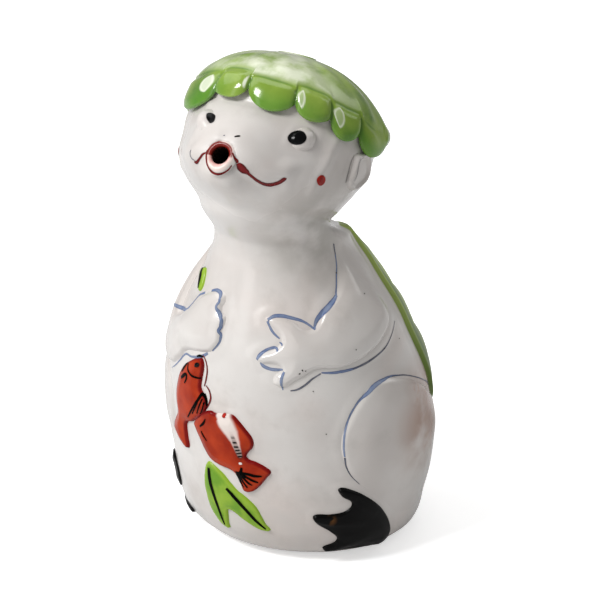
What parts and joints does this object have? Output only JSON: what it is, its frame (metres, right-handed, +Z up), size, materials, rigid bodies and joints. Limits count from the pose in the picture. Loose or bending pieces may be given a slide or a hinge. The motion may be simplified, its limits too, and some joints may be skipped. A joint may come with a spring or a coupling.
{
  "type": "figural sake flask",
  "caption": "Glazed ceramic kappa flask that pours through its mouth, with a loose green hair cap over the filler opening, shell on its back and fish in its hand.",
  "frame": {"origin": "on the surface that the flask stands on, under the middle of its box", "axes": "+Z up, -Y the way the kappa faces, +X its left side"},
  "size_m": [0.0859, 0.0947, 0.1596],
  "materials": {
    "white_glaze": "glossy warm white glaze with fine iron specks and blue brush lines",
    "hair_glaze": "glossy transparent green glaze, darker in the grooves",
    "shell_glaze": "glossy green glaze with darker plate joints",
    "leaf_glaze": "glossy bright green glaze with black midribs",
    "fish_glaze": "glossy red-orange glaze with black brush marks",
    "black_glaze": "glossy black glaze with a brown glint where it is thin",
    "lip_glaze": "glossy pinkish white glaze edged in red"
  },
  "bodies": {
    "flask": {"flask_body": "white_glaze", "back_shell": "shell_glaze", "left_arm": "white_glaze", "right_arm": "white_glaze", "left_thigh": "white_glaze", "right_thigh": "white_glaze", "left_foot": "black_glaze", "right_foot": "black_glaze", "left_eye": "white_glaze", "right_eye": "white_glaze", "left_ear": "white_glaze", "right_ear": "white_glaze", "pouring_lip": "lip_glaze", "upper_leaf": "leaf_glaze", "upper_fish": "fish_glaze", "lower_fish": "fish_glaze", "lower_leaves": "leaf_glaze"},
    "cap": {"hair_cap": "hair_glaze"}
  },
  "joints": [
    {"name": "cap_lift", "type": "slide", "parent": "flask", "child": "cap", "axis": [0, 0.454, 0.891], "range_m": [0, 0.06]}
  ]
}
